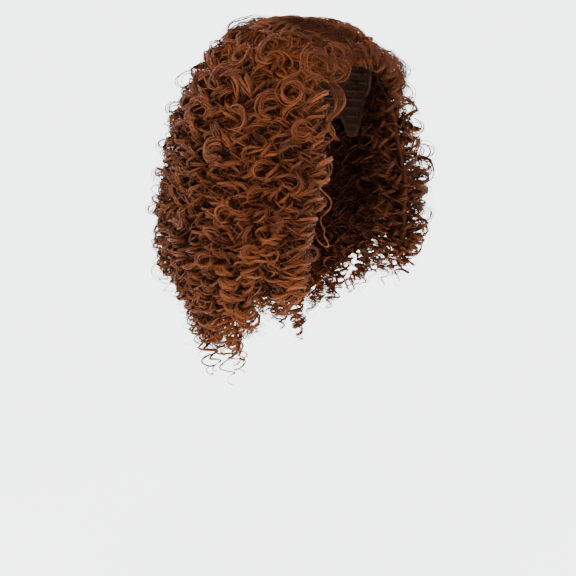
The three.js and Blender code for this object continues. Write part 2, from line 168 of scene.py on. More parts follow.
class Value:
    """One output socket, so that a formula on sockets reads as one on numbers."""

    def __init__(self, nodes, socket):
        self.nodes = nodes
        self.socket = socket

    def of(self, name):
        return Value(self.nodes, self.socket.node.outputs[name])

    def math(self, operation, *others):
        terms = dict(enumerate((self, *others)))
        return self.nodes.add("ShaderNodeMath", {"operation": operation}, terms)

    def vector(self, operation, *others):
        terms = dict(enumerate((self, *others)))
        return self.nodes.add("ShaderNodeVectorMath", {"operation": operation}, terms)

    def scaled(self, factor):
        return self.nodes.add("ShaderNodeVectorMath", {"operation": "SCALE"}, {0: self, "Scale": factor})

    def clamped(self):
        return self.math("MAXIMUM", 0.0).math("MINIMUM", 1.0)

    def eased(self, low, high):
        settings = {"interpolation_type": "SMOOTHSTEP"}
        ends = {"Value": self, "From Min": low, "From Max": high}
        return self.nodes.add("ShaderNodeMapRange", settings, ends)

    def __add__(self, other):
        return self.math("ADD", other)

    def __radd__(self, other):
        return self.math("ADD", other)

    def __sub__(self, other):
        return self.math("SUBTRACT", other)

    def __rsub__(self, other):
        return self.nodes.add("ShaderNodeMath", {"operation": "SUBTRACT"}, {0: other, 1: self})

    def __mul__(self, other):
        return self.math("MULTIPLY", other)


class Nodes:
    """Adds nodes to a tree: settings first, then the values or links of the sockets."""

    def __init__(self, tree):
        self.tree = tree

    def add(self, kind, settings=None, inputs=None, output=0):
        node = self.tree.nodes.new(kind)
        for name, value in (settings or {}).items():
            setattr(node, name, value)
        for key, value in (inputs or {}).items():
            if isinstance(key, int):
                socket = node.inputs[key]
            else:
                socket = next(s for s in node.inputs if s.name == key and s.enabled)
            if isinstance(value, Value):
                self.tree.links.new(value.socket, socket)
            else:
                socket.default_value = value
        if isinstance(output, str):
            return Value(self, next(s for s in node.outputs if s.name == output and s.enabled))
        return Value(self, [s for s in node.outputs if s.enabled][output] if node.outputs else None)

    def mixed(self, factor, a, b):
        settings = {"data_type": "RGBA"}
        return self.add("ShaderNodeMix", settings, {"Factor": factor, "A": a, "B": b})

    def noise(self, vector, scale, detail, roughness=0.5):
        sizes = {"Vector": vector, "Scale": scale, "Detail": detail, "Roughness": roughness}
        return self.add("ShaderNodeTexNoise", None, sizes)

    def joined(self, x, y, z):
        return self.add("ShaderNodeCombineXYZ", None, {"X": x, "Y": y, "Z": z})


def srgb(red, green, blue):
    """A linear colour from the 0 to 255 values that a screen shows."""
    shares = [c / 255 for c in (red, green, blue)]
    return tuple(c / 12.92 if c <= 0.04045 else ((c + 0.055) / 1.055) ** 2.4 for c in shares)


class WigForm(bpy.types.PropertyGroup):
    hair_length: FloatProperty(
        name="Hair length", description="From the crown down to the ends of the back curls",
        default=0.362, min=0.2, max=0.7, unit="LENGTH")
    side_volume: FloatProperty(
        name="Side volume", description="How far the hair stands out beside the ears at its fullest",
        default=0.071, min=0.02, max=0.15, unit="LENGTH")
    back_volume: FloatProperty(
        name="Back volume", description="How far the hair stands out behind the head at its fullest",
        default=0.069, min=0.02, max=0.15, unit="LENGTH")
    left_face_volume: FloatProperty(
        name="Left face volume",
        description="How far the hair stands out at the left edge of the face opening",
        default=0.068, min=0.01, max=0.12, unit="LENGTH")
    right_face_volume: FloatProperty(
        name="Right face volume",
        description="How far the hair stands out at the right edge of the face opening",
        default=0.058, min=0.01, max=0.12, unit="LENGTH")
    crown_lift: FloatProperty(
        name="Crown lift", description="Thickness of the combed hair on top of the head",
        default=0.008, min=0.003, max=0.03, unit="LENGTH")


class WigCurls(bpy.types.PropertyGroup):
    radius: FloatProperty(
        name="Curl radius", description="Radius of a full curl",
        default=0.0088, min=0.003, max=0.03, unit="LENGTH")
    spacing: FloatProperty(
        name="Spacing", description="Between neighbouring curls at their fullest level",
        default=0.0086, min=0.004, max=0.05, unit="LENGTH")
    half_width: FloatProperty(
        name="Strand half width", description="Half the width of one strand of fibres in a curl",
        default=0.00072, min=0.0002, max=0.004, unit="LENGTH")
    strands: IntProperty(
        name="Strands", description="Strands of fibres in one outer curl", default=7, min=1, max=12)
    clump: IntProperty(
        name="Clump", description="Neighbouring curls that wave together and end in one ringlet",
        default=4, min=1, max=12)
    frizz: FloatProperty(
        name="Frizz", description="How far the strands of a curl stray from each other",
        default=0.0021, min=0.0, max=0.02, unit="LENGTH")
    seed: IntProperty(name="Seed", description="Starts the random values", default=11, min=0)


class WigColours(bpy.types.PropertyGroup):
    # Also the colour towards which deeper locks go as painted shade
    root: FloatVectorProperty(
        name="Roots", description="Colour of the hair at the parting",
        default=srgb(30, 16, 10), size=3, min=0, max=1, subtype="COLOR")
    # Also the dark end of the painted shade inside each coil and of the under hair
    shade: FloatVectorProperty(
        name="Shaded strands", description="Colour of the darker strands",
        default=srgb(50, 24, 13), size=3, min=0, max=1, subtype="COLOR")
    copper: FloatVectorProperty(
        name="Light strands", description="Colour of the lighter strands",
        default=srgb(77, 38, 19), size=3, min=0, max=1, subtype="COLOR")
    # Also the colour of the painted highlights where a strand's tone is high
    tip: FloatVectorProperty(
        name="Tips", description="Colour of the ends of the curls",
        default=srgb(114, 60, 30), size=3, min=0, max=1, subtype="COLOR")
    lining: FloatVectorProperty(
        name="Lining", description="Colour of the cap's net",
        default=srgb(60, 38, 26), size=3, min=0, max=1, subtype="COLOR")


class WigStudio(bpy.types.PropertyGroup):
    azimuth: FloatProperty(
        name="Azimuth", description="Camera angle round the wig, 0 looks along +Y",
        default=math.radians(-55), subtype="ANGLE")
    elevation: FloatProperty(
        name="Elevation", description="Camera angle above the middle of the wig",
        default=math.radians(6), subtype="ANGLE")
    distance: FloatProperty(
        name="Distance", description="From the camera to the middle of the wig",
        default=1.5, min=0.3, max=10, unit="LENGTH")
    lens: FloatProperty(name="Lens", description="Focal length in millimetres", default=85, min=20, max=200)
    floor: FloatProperty(
        name="Floor", description="Height of the floor under the crown",
        default=-0.59, unit="LENGTH")
    backdrop: FloatVectorProperty(
        name="Backdrop", description="Colour of the floor and the sweep behind it",
        default=(0.86, 0.87, 0.88), size=3, min=0, max=1, subtype="COLOR")


# The head and the outer form of the hair. Angles are in degrees round from the back, positive
# towards the wearer's left, and drops are levels below the crown.

def look_up(table, at, eased=False):
    places, values = np.array(table, float).T
    if not eased:
        return np.interp(at, places, values)
    row = np.clip(np.searchsorted(places, at, side="right") - 1, 0, len(places) - 2)
    share = np.clip((at - places[row]) / (places[row + 1] - places[row]), 0, 1)
    return values[row] + (values[row + 1] - values[row]) * ease(share)


def ease(share):
    share = np.clip(share, 0, 1)
    return share * share * (3 - 2 * share)


def mix(a, b, share):
    return a + (b - a) * share


def around(angle, radius, height):
    turn = np.radians(angle)
    return np.stack(np.broadcast_arrays(radius * np.sin(turn), radius * np.cos(turn), height), -1)


def head_radius(angle):
    turn = np.radians(angle)
    return 1 / np.hypot(np.sin(turn) / (HEAD_WIDTH / 2), np.cos(turn) / (HEAD_LENGTH / 2))


def head_share(drop):
    rise = np.clip(1 - drop / CROWN_HEIGHT, 0, 1)
    return (1 - rise ** DOME_SQUARENESS) ** (1 / DOME_SQUARENESS)


def shell_point(angle, drop, thickness):
    share = head_share(drop)
    lift = thickness * (1 - share ** DOME_SQUARENESS)
    return around(angle, (head_radius(angle) + thickness) * share, lift - drop)


def volume_at(form, angle):
    turn = np.abs(angle)
    back = mix(form.back_volume, form.side_volume, np.sin(np.radians(np.minimum(turn, 90))) ** 2)
    edge = np.where(np.asarray(angle) < 0, form.right_face_volume, form.left_face_volume)
    brow = (form.left_face_volume + form.right_face_volume) / 2
    edge = mix(edge, brow, ease((turn - FACE_ANGLE) / (180 - FACE_ANGLE)))
    front = mix(form.side_volume, edge, ease((turn - 90) / (FACE_ANGLE - 90)))
    return np.where(turn <= 90, back, front)


def hair_point(form, angle, drop, depth):
    share = head_share(drop)
    swell = look_up(SWELL, drop / form.hair_length)
    lift = (form.crown_lift - depth) * (1 - share ** DOME_SQUARENESS)
    radius = (head_radius(angle) + CAP_WALL - depth) * share + volume_at(form, angle) * swell
    return around(angle, radius, lift - drop)


def rooted(depth, drop, least=0.3):
    return depth * np.clip(drop / ROOT_DROP, least, 1)


def hem_drop(form, angle):
    turn = np.abs(angle)
    share = np.where(angle < 0, look_up(HEM_RIGHT, turn, True), look_up(HEM_LEFT, turn, True))
    return form.hair_length * share


def cap_drop(angle):
    return CAP_DEPTH * look_up(CAP_EDGE, np.abs(angle), True)


def pulled_in(form, angle, drop):
    """The angle of a lock beside the face, which pulls back towards the hem."""
    share = look_up(FACE_EDGE, drop / form.hair_length, True)
    place = (np.abs(angle) - TEMPLE_ANGLE) / (FACE_ANGLE - TEMPLE_ANGLE)
    moved = mix(TEMPLE_ANGLE, FACE_ANGLE * share, place)
    return np.where(place > 0, np.sign(angle) * moved, angle)


def crown_points(form, x, y, depth):
    """Points on the combed crown above places in plan."""
    angle = np.degrees(np.arctan2(x, y))
    drops = np.linspace(0, CROWN_HEIGHT, 120) ** 1.5 / CROWN_HEIGHT ** 0.5
    grid = hair_point(form, angle[:, None], drops[None, :], np.reshape(depth, (-1, 1)))
    reach = np.hypot(grid[..., 0], grid[..., 1])
    found = np.array([np.interp(math.hypot(px, py), row, drops) for px, py, row in zip(x, y, reach)])
    height = hair_point(form, angle, found, depth)[:, 2]
    return np.stack([x, y, height], -1)


def parting_root(angle, jitter):
    """The place in plan on the parting from which hair is combed towards an angle."""
    side = np.where(np.sin(np.radians(angle)) > 0, 1, -1)
    along = ease((1 + np.cos(np.radians(angle))) / 2 + jitter)
    return PART_OFFSET + side * PART_WIDTH * 0.2, mix(PART_FRONT, PART_BACK, along)


# Paths that strands follow

def evenly(path):
    """A path resampled at even steps and softened."""
    spans = np.linalg.norm(np.diff(path, axis=0), axis=1)
    run = np.concatenate([[0], np.cumsum(spans)])
    count = max(4, int(run[-1] / PATH_STEP) + 1)
    at = np.linspace(0, run[-1], count)
    points = np.stack([np.interp(at, run, path[:, axis]) for axis in range(3)], -1)
    size = int(PATH_SOFTENING / PATH_STEP)
    if size > 1 and count > 2 * size:
        weights = np.hanning(2 * size + 3)[1:-1]
        weights /= weights.sum()
        first = 2 * points[0] - points[size:0:-1]
        last = 2 * points[-1] - points[-2:-size - 2:-1]
        padded = np.concatenate([first, points, last])
        points = np.stack([np.convolve(padded[:, axis], weights, "valid") for axis in range(3)], -1)
    return points, at


class Guides:
    """Lines for strands to follow, with the values that shape and colour them."""

    NAMES = ("phase", "coil", "flat", "thick", "run", "along", "tone", "under")

    def __init__(self):
        self.points = []
        self.outward = []
        self.lines = []
        self.values = {name: [] for name in self.NAMES}
        self.count = 0

    def add(self, path, *, turn_start, radius, tone, thick, run_from=0.0, hand=1, flat=1.0, under=0.0,
            per_turn=7, widest=0.006, pitch_share=1.0, coil_share=None, tip=0.03, flat_root=0.5):
        """Adds one line. Its points are spaced by turns of the curl, and never wider than given."""
        points, at = evenly(path)
        run = at + run_from
        pitch = look_up(PITCH, run) * pitch_share * (1 + 0.3 * np.sin(run * 95 + 3 * turn_start))
        phase = turn_start + hand * np.cumsum(2 * np.pi / pitch) * (at[1] - at[0])
        progress = np.cumsum(np.maximum(per_turn / pitch, 1 / widest)) * (at[1] - at[0])
        wanted = np.arange(progress[0], progress[-1], 1.0)
        where = np.interp(wanted, progress, at)
        left = at[-1] - where
        share = look_up(COIL, where + run_from) if coil_share is None else coil_share(where / at[-1])
        ending = mix(0.55, 1, ease(left / tip))
        points = np.stack([np.interp(where, at, points[:, axis]) for axis in range(3)], -1)
        core = np.zeros_like(points)
        core[:, 2] = np.minimum(points[:, 2], -CROWN_HEIGHT)
        outward = points - core
        outward /= np.linalg.norm(outward, axis=1)[:, None]
        count = len(points)
        self.points.append(points)
        self.outward.append(outward)
        first = self.count + np.arange(count - 1)
        self.lines.append(np.stack([first, first + 1], -1))
        self.count += count
        made = {
            "phase": np.interp(where, at, phase),
            "coil": share * radius * ending * (1 + 0.25 * np.sin(where * 170 + 5 * turn_start)),
            "flat": mix(flat_root, 1, ease((where + run_from - 0.03) / 0.08)) * flat,
            "thick": thick * mix(0.3, 1, ease(left / tip)) * mix(0.6, 1, ease(where / 0.02)),
            "run": where + run_from,
            "along": where / at[-1],
            "tone": np.full(count, tone),
            # Share of painted shade for a lock that lies deeper in the hair
            "under": np.full(count, under),
        }
        for name in self.NAMES:
            self.values[name].append(made[name])

    def mesh(self, name):
        made = bpy.data.meshes.new(name)
        made.from_pydata(np.concatenate(self.points), np.concatenate(self.lines), [])
        for key in self.NAMES:
            values = np.concatenate(self.values[key]).astype(np.float32)
            made.attributes.new(key, "FLOAT", "POINT").data.foreach_set("value", values)
        outward = np.concatenate(self.outward).astype(np.float32)
        made.attributes.new("outward", "FLOAT_VECTOR", "POINT").data.foreach_set("vector", outward.ravel())
        return made


def strand_tree():
    """Turns guide lines into curls: copies of each line are wound round it and get a thickness."""
    tree = bpy.data.node_groups.new("curl_strands", "GeometryNodeTree")
    face = tree.interface
    face.new_socket("Geometry", in_out="INPUT", socket_type="NodeSocketGeometry")
    for name, kind in (("Strands", "Int"), ("Half Width", "Float"), ("Spread", "Float"), ("Frizz", "Float"),
                       ("Fan", "Float"), ("Ribbon", "Float"), ("Sides", "Int"), ("Seed", "Int"),
                       ("Material", "Material")):
        face.new_socket(name, in_out="INPUT", socket_type=f"NodeSocket{kind}")
    face.new_socket("Geometry", in_out="OUTPUT", socket_type="NodeSocketGeometry")
    nodes = Nodes(tree)
    given = nodes.add("NodeGroupInput")

    def stored(geometry, name, value, domain="CURVE", kind="FLOAT"):
        settings = {"data_type": kind, "domain": domain}
        return nodes.add("GeometryNodeStoreNamedAttribute", settings,
                         {"Geometry": geometry, "Name": name, "Value": value})

    def read(name, kind="FLOAT"):
        return nodes.add("GeometryNodeInputNamedAttribute", {"data_type": kind}, {"Name": name})

    lines = nodes.add("GeometryNodeMeshToCurve", None, {"Mesh": given.of("Geometry")})
    copies = nodes.add("GeometryNodeDuplicateElements", {"domain": "SPLINE"},
                       {"Geometry": lines, "Amount": given.of("Strands")})
    index = nodes.add("GeometryNodeInputIndex")
    chances = (("turn", -1.0, 1.0), ("size", 0.86, 1.12), ("shade", 0.0, 1.0), ("body", 0.0, 1.0))
    for step, (name, low, high) in enumerate(chances):
        spread = nodes.add("FunctionNodeRandomValue", {"data_type": "FLOAT"},
                           {"Min": low, "Max": high, "ID": index, "Seed": given.of("Seed") + step})
        copies = stored(copies, name, spread)

    settled = read("run").eased(0.03, 0.12)
    turn = read("turn")
    phase = read("phase") * (turn * 0.006 * settled + 1.0) + turn * given.of("Spread") * (settled * 0.6 + 0.4)
    tangent = nodes.add("GeometryNodeInputTangent")
    side = tangent.vector("CROSS_PRODUCT", read("outward", "FLOAT_VECTOR")).vector("NORMALIZE")
    lift = side.vector("CROSS_PRODUCT", tangent)
    reach = read("coil") * read("size")
    wound = side.scaled(phase.math("COSINE") * reach).vector(
        "ADD", lift.scaled(phase.math("SINE") * reach * read("flat")))
    strand = read("shade") * 91.0
    slow = nodes.noise(nodes.joined(read("run") * 22.0, strand, 0.0), 1.0, 0.0).of("Color")
    quick = nodes.noise(nodes.joined(read("run") * 120.0, strand, strand), 1.0, 1.0).of("Color")
    loose = (read("coil") * 110.0 + 0.2).clamped() * given.of("Frizz") * (1.7 - read("body"))
    fan = side.scaled(read("turn") * given.of("Fan") * (1.0 - settled))
    stray = slow.vector("SUBTRACT", (0.5, 0.5, 0.5)).scaled(loose * 2.0)
    fuzz = quick.vector("SUBTRACT", (0.5, 0.5, 0.5)).scaled(loose * 0.6)
    offset = wound.vector("ADD", stray).vector("ADD", fuzz).vector("ADD", fan)
    upward = lift.scaled(phase.math("SINE") * 0.45 + 0.75)
    facing = side.scaled(phase.math("COSINE") * 0.45).vector("ADD", upward)
    # Painted shade: the half of each coil that faces its lock's axis gets a share that darkens its colour
    inside = (0.5 - phase.math("SINE") * 0.5) * (read("coil") * 160.0).clamped()
    copies = stored(copies, "facing", facing, "POINT", "FLOAT_VECTOR")
    copies = stored(copies, "coil_shade", inside, "POINT")
    curled = nodes.add("GeometryNodeSetPosition", None, {"Geometry": copies, "Offset": offset})
    curled = nodes.add("GeometryNodeSetCurveNormal", {"mode": "FREE"},
                       {"Curve": curled, "Normal": read("facing", "FLOAT_VECTOR")})

    circle = nodes.add("GeometryNodeCurvePrimitiveCircle", {"mode": "RADIUS"},
                       {"Resolution": given.of("Sides"), "Radius": 1.0})
    flat = nodes.add("GeometryNodeTransform", None, {"Geometry": circle, "Scale": (0.45, 1.0, 1.0)})
    section = stored(flat, "across", nodes.add("GeometryNodeSplineParameter"), "POINT")
    width = read("thick") * given.of("Half Width") * (read("body") * read("body") * given.of("Ribbon") + 0.5)
    skin = nodes.add("GeometryNodeCurveToMesh", None,
                     {"Curve": curled, "Profile Curve": section, "Scale": width, "Fill Caps": True})
    soft = nodes.add("GeometryNodeSetShadeSmooth", None, {"Geometry": skin, "Shade Smooth": True})
    real = nodes.add("GeometryNodeRealizeInstances", None, {"Geometry": soft})
    done = nodes.add("GeometryNodeSetMaterial", None, {"Geometry": real, "Material": given.of("Material")})
    nodes.add("NodeGroupOutput", None, {"Geometry": done})
    return tree


def grown(name, guides, material, *, strands, half_width, frizz, seed, spread=0.55, fan=0.0, sides=3):
    """An object of strands along guide lines, made by the tree and kept as a plain mesh."""
    tree = bpy.data.node_groups.get("curl_strands") or strand_tree()
    piece = bpy.data.objects.new(name, guides.mesh(name + "_lines"))
    bpy.context.scene.collection.objects.link(piece)
    modifier = piece.modifiers.new("curl_strands", "NODES")
    modifier.node_group = tree
    sizes = {"Strands": strands, "Half Width": half_width, "Spread": spread, "Frizz": frizz,
             "Fan": fan, "Ribbon": EXTRA_WIDTH, "Sides": sides, "Seed": seed, "Material": material}
    for socket in tree.interface.items_tree:
        if socket.in_out == "INPUT" and socket.name in sizes:
            modifier[socket.identifier] = sizes[socket.name]
    graph = bpy.context.evaluated_depsgraph_get()
    made = bpy.data.meshes.new_from_object(piece.evaluated_get(graph), preserve_all_data_layers=True,
                                           depsgraph=graph)
    piece.modifiers.clear()
    lines = piece.data
    piece.data = made
    made.name = name
    bpy.data.meshes.remove(lines)
    for key in ("phase", "coil", "flat", "thick", "outward", "turn", "size", "facing", "body"):
        if key in made.attributes:
            made.attributes.remove(made.attributes[key])
    if len(made.polygons) == 0:
        raise RuntimeError(f"{name} has no strands")
    return piece


def walled(name, outer, inner, closed, material):
    """A closed wall between two grids of points, rows down and columns round."""
    rows, columns = outer.shape[:2]
    grid = np.arange(rows * columns).reshape(rows, columns)
    faces = []
    for sheet, flip in ((grid, False), (grid + rows * columns, True)):
        following = np.roll(sheet, -1, axis=1)
        a, b = (sheet, following) if closed else (sheet[:, :-1], sheet[:, 1:])
        quads = np.stack([a[:-1], b[:-1], b[1:], a[1:]], -1).reshape(-1, 4)
        faces.append(quads[:, ::-1] if flip else quads)
    edge = list(range(columns))
    pairs = list(zip(edge, edge[1:] + edge[:1])) if closed else list(zip(edge, edge[1:]))
    back = rows * columns
    rims = []
    for a, b in pairs:
        rims.append((grid[0, b], grid[0, a], grid[0, a] + back, grid[0, b] + back))
        rims.append((grid[-1, a], grid[-1, b], grid[-1, b] + back, grid[-1, a] + back))
    if not closed:
        for r in range(rows - 1):
            rims.append((grid[r, 0], grid[r + 1, 0], grid[r + 1, 0] + back, grid[r, 0] + back))
            rims.append((grid[r + 1, -1], grid[r, -1], grid[r, -1] + back, grid[r + 1, -1] + back))
    faces = np.concatenate([*faces, np.array(rims)])
    mesh = bpy.data.meshes.new(name)
    mesh.from_pydata(np.concatenate([outer.reshape(-1, 3), inner.reshape(-1, 3)]), [], faces)
    return cleaned(name, mesh, material)


def cleaned(name, mesh, material):
    """Merges doubled points, turns faces outwards and makes an object of the mesh."""
    shape = bmesh.new()
    shape.from_mesh(mesh)
    bmesh.ops.remove_doubles(shape, verts=shape.verts, dist=1e-6)
    bmesh.ops.recalc_face_normals(shape, faces=shape.faces)
    for face in shape.faces:
        face.smooth = True
    shape.to_mesh(mesh)
    shape.free()
    mesh.materials.append(material)
    piece = bpy.data.objects.new(name, mesh)
    bpy.context.scene.collection.objects.link(piece)
    return piece


def kept(piece, slot, *nodes):
    """Makes a finished piece ride on the wig, and stand for its CAD nodes."""
    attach(piece, "root")
    if nodes:
        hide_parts(*nodes)


# Materials

def new_material(name):
    """A material with its nodes, its shader and the place on the object."""
    material = bpy.data.materials.new(name)
    material.use_nodes = True
    nodes = Nodes(material.node_tree)
    shader = material.node_tree.nodes["Principled BSDF"]
    return material, nodes, shader, nodes.add("ShaderNodeTexCoord", None, None, "Object")


def dress(nodes, shader, colour, roughness, gloss, height, strength, distance):
    """Links the colour, the roughness and the bumps to a shader, and sets its gloss."""
    bump = nodes.add("ShaderNodeBump", None, {"Strength": strength, "Distance": distance, "Height": height})
    for value, socket in ((colour, "Base Color"), (roughness.clamped(), "Roughness"), (bump, "Normal")):
        nodes.tree.links.new(value.socket, shader.inputs[socket])
    shader.inputs["Specular IOR Level"].default_value = gloss


def round_turn(nodes, place):
    """The angle round the cap and the level on it, both in steps of about a millimetre."""
    parts = nodes.add("ShaderNodeSeparateXYZ", None, {"Vector": place})
    return parts.of("X").math("ARCTAN2", parts.of("Y")) * 85.0, parts.of("Z") * 1000.0


def hair_material(name, colours, dark=0.0, gloss=0.09, contrast=1.8):
    """Glossy fibres: dark at the roots, lighter and more orange towards the tips, streaked along, with
    painted highlights, and painted shade inside the coils and on deeper locks.
    """
    found = bpy.data.materials.get(name)
    if found:
        return found
    material, nodes, shader, place = new_material(name)

    def read(key):
        return nodes.add("ShaderNodeAttribute", {"attribute_name": key}, None, "Fac")

    run, shade = read("run"), read("shade")
    streak = nodes.noise(nodes.joined(read("across") * 5.0, run * 40.0, shade * 53.0), 1.0, 3.0, 0.6)
    patch = nodes.noise(place, 34.0, 1.0)
    tone = (shade - 0.5) * 0.6 + (read("tone") - 0.5) * 0.4 + (streak - 0.5) * contrast + (patch - 0.5) * 1.5
    # The light share drops on the inner side of each coil, which is painted shade
    light = (tone + 0.66 - dark - read("coil_shade") * 0.45).clamped()
    colour = nodes.mixed(light, (*colours.shade, 1), (*colours.copper, 1))
    # Painted highlight: where the tone is high the colour goes towards the tip colour, in place of a sheen
    for share, end in ((tone.eased(0.1, 0.7) * 0.4, colours.tip),
                       (read("along").eased(0.75, 1.0) * 0.5, colours.tip),
                       (run.eased(0.05, 0.008) * 0.8, colours.root),
                       # Painted shade: locks that lie deeper in the hair go towards the root colour
                       ((read("under") * 0.55).clamped(), colours.root)):
        colour = nodes.mixed(share, colour, (*end, 1))
    rough = streak * 0.22 + run.eased(0.05, 0.015) * 0.5 + 0.36
    dress(nodes, shader, colour, rough, gloss, streak, 0.5, 0.0004)
    shader.inputs["Specular Tint"].default_value = (1.0, 0.62, 0.36, 1.0)
    return material


def under_material(colours):
    """The shaded mass of fibres behind the outer curls: its dark root and shade colours are painted shade for
    the gaps between the curls.
    """
    material, nodes, shader, place = new_material("under_fibres")
    fine = nodes.noise(place.vector("MULTIPLY", (900.0, 900.0, 260.0)), 1.0, 3.0, 0.6)
    tuft = nodes.noise(place, 70.0, 3.0, 0.6)
    light = ((fine - 0.5) * 1.2 + (tuft - 0.5) * 1.2 + 0.4).clamped()
    colour = nodes.mixed(light, (*colours.root, 1), (*colours.shade, 1))
    dress(nodes, shader, colour, fine * 0.25 + 0.6, 0.0, fine, 0.8, 0.001)
    return material


def lining_material(colours):
    """Fine stretch net: two crossing sets of threads with dark holes between them."""
    material, nodes, shader, place = new_material("stretch_net")
    turn, level = round_turn(nodes, place)
    first = ((turn + level) * 1.9).math("SINE") * 0.5 + 0.5
    second = ((turn - level) * 1.9).math("SINE") * 0.5 + 0.5
    thread = first.math("MAXIMUM", second).eased(0.35, 0.85)
    wear = nodes.noise(place, 45.0, 3.0)
    light = (thread * 0.75 + (wear - 0.5) * 0.7).clamped()
    dark = tuple(c * 0.3 for c in colours.lining)
    colour = nodes.mixed(light, (*dark, 1), (*colours.lining, 1))
    dress(nodes, shader, colour, 0.95 - thread * 0.2, 0.12, thread, 0.7, 0.0005)
    return material


def tape_material(colours):
    """Woven tape of the cap's binding and of its rows of stitched fibre."""
    material, nodes, shader, place = new_material("woven_tape")
    rib = (round_turn(nodes, place)[0] * 4.5).math("SINE") * 0.5 + 0.5
    fine = nodes.noise(place, 600.0, 2.0)
    light = (rib * 0.5 + fine * 0.5).clamped()
    dark, bright = (tuple(c * share for c in colours.lining) for share in (0.4, 1.5))
    colour = nodes.mixed(light, (*dark, 1), (*bright, 1))
    dress(nodes, shader, colour, fine * 0.2 + 0.7, 0.12, rib, 0.6, 0.0006)
    return material


# Locks of curls

def waver(drops, rng, *lengths):
    """Waves of random start, added up along a lock."""
    return sum(np.sin(drops / length + rng.uniform(0, FULL_TURN)) for length in lengths)


def random_turn(rng):
    """Where round its path a curl starts, and which way it winds."""
    return {"turn_start": rng.uniform(0, FULL_TURN), "hand": rng.choice([-1, 1])}


def clump_depth(angle, drop):
    """How far the hair sinks between its clumps, which is less than nothing where it stands out."""
    down = np.sin(drop / 0.0046 + 1.6 * np.sin(np.radians(angle) * 7))
    across = np.sin(np.radians(angle) * 9 + drop * 42)
    return CLUMP_RISE * down * across * ease((drop - 0.015) / 0.04)


def lock_path(form, angle, end, depth, rng, start=None, sway=SWAY, gathered=None):
    """The middle of a lock down to its end, from a level below the crown or else from the parting."""
    drops = np.linspace(RIM_DROP if start is None else start, end, 90)
    fade = np.clip(drops / 0.12, 0.2, 1)
    wave = sway * fade * waver(drops, rng, 0.021, 0.0125)
    inwards = WAVER_DEPTH * fade * waver(drops, rng, 0.017, 0.011)
    if gathered is not None:
        angle = mix(angle, gathered, GATHERED_SHARE * ease((drops - end + 0.085) / 0.075))
    turned = pulled_in(form, angle, drops) + wave
    inwards = inwards + HEM_TUCK * ease((drops - 0.27) / 0.06) + BROW_TUCK * ease((0.075 - drops) / 0.045)
    inwards = inwards + clump_depth(turned, drops)
    path = hair_point(form, turned, drops, rooted(depth, drops, 0.8) + inwards)
    if start is not None:
        return path
    x, y = parting_root(np.ravel(angle)[0], rng.uniform(-0.05, 0.05))
    share = np.linspace(0, 1, 14)[:-1]
    rim = path[0]
    sunk = mix(ROOT_DEPTH, rooted(depth, 0, 0.5), ease(share * 1.8))
    top = crown_points(form, mix(x, rim[0], share), mix(y, rim[1], share), sunk)
    return np.concatenate([top, path])


def lock_count(low, high, reach, spacing):
    """How many locks fit between two angles at a distance from the axis."""
    return max(1, round(abs(math.radians(high - low)) * reach / spacing))


def spread_angles(low, high, spacing, form, rng):
    """Angles of neighbouring locks, spaced by their distance at the fullest level."""
    middle = (low + high) / 2
    count = lock_count(low, high, float(head_radius(middle) + volume_at(form, middle)), spacing)
    places = (np.arange(count) + 0.5 + rng.uniform(-0.22, 0.22, count)) / count
    return mix(low, high, places)


def outer_locks(guides, scene, rng, low, high):
    """Curls from the parting to the hem, in clumps that wave together and end in one ringlet."""
    form, curls = scene.wig_form, scene.wig_curls
    angles = spread_angles(low, high, curls.spacing, form, rng)
    for clump in np.array_split(angles, max(1, round(len(angles) / curls.clump))):
        middle = clump.mean()
        end = float(hem_drop(form, middle)) + TIP_LENGTH * rng.uniform(-0.4, 0.8)
        start, hand = random_turn(rng).values()
        pitch = rng.uniform(0.85, 1.15)
        for angle in clump:
            tip = end + rng.uniform(-0.012, 0.006)
            depth = OUTER_DEPTH + rng.uniform(-0.003, 0.004)
            path = lock_path(form, angle, tip, depth, rng, gathered=middle)
            guides.add(path, turn_start=start + rng.uniform(-0.5, 0.5), hand=hand, flat_root=0.6,
                       radius=curls.radius * rng.uniform(0.8, 1.25), tone=rng.uniform(0, 1),
                       pitch_share=pitch * rng.uniform(0.97, 1.03), thick=rng.uniform(0.85, 1.15))


def inner_locks(guides, scene, rng, low, high, depth, start, spacing, under):
    """Thicker curls behind the outer ones, from a level below the crown, darkened as painted shade for their
    depth.
    """
    form, curls = scene.wig_form, scene.wig_curls
    for angle in spread_angles(low, high, spacing, form, rng):
        begin = start + rng.uniform(-0.012, 0.012)
        end = float(hem_drop(form, angle)) - TIP_LENGTH * rng.uniform(0, 0.9)
        path = lock_path(form, angle, end, depth + rng.uniform(-0.003, 0.003), rng, begin)
        guides.add(path, **random_turn(rng), run_from=begin + 0.05,
                   radius=curls.radius * rng.uniform(0.9, 1.2), tone=rng.uniform(0, 0.8), under=under,
                   pitch_share=rng.uniform(0.9, 1.15), thick=1.5)


def scalp_locks(guides, scene, rng, low, high):
    """Curls that hang from the edge of the cap, close to the neck."""
    form, curls = scene.wig_form, scene.wig_curls
    count = lock_count(low, high, float(head_radius((low + high) / 2)) + NAPE_ROOM, SCALP_SPACING)
    for place in range(count):
        angle = mix(low, high, (place + rng.uniform(0.2, 0.8)) / count)
        edge = float(cap_drop(angle))
        end = float(hem_drop(form, angle)) - rng.uniform(0.01, 0.05)
        drops = np.linspace(edge - 0.02, end, 50)
        out = SEAT + 0.005 + NAPE_ROOM * ease((drops - edge) / 0.04)
        path = shell_point(pulled_in(form, angle, drops), drops, out)
        # Neck locks get a large share of painted shade
        guides.add(path, **random_turn(rng), run_from=0.07,
                   radius=curls.radius * rng.uniform(0.75, 1), tone=rng.uniform(0, 0.8), under=0.55,
                   pitch_share=rng.uniform(0.9, 1.15), thick=1.4)


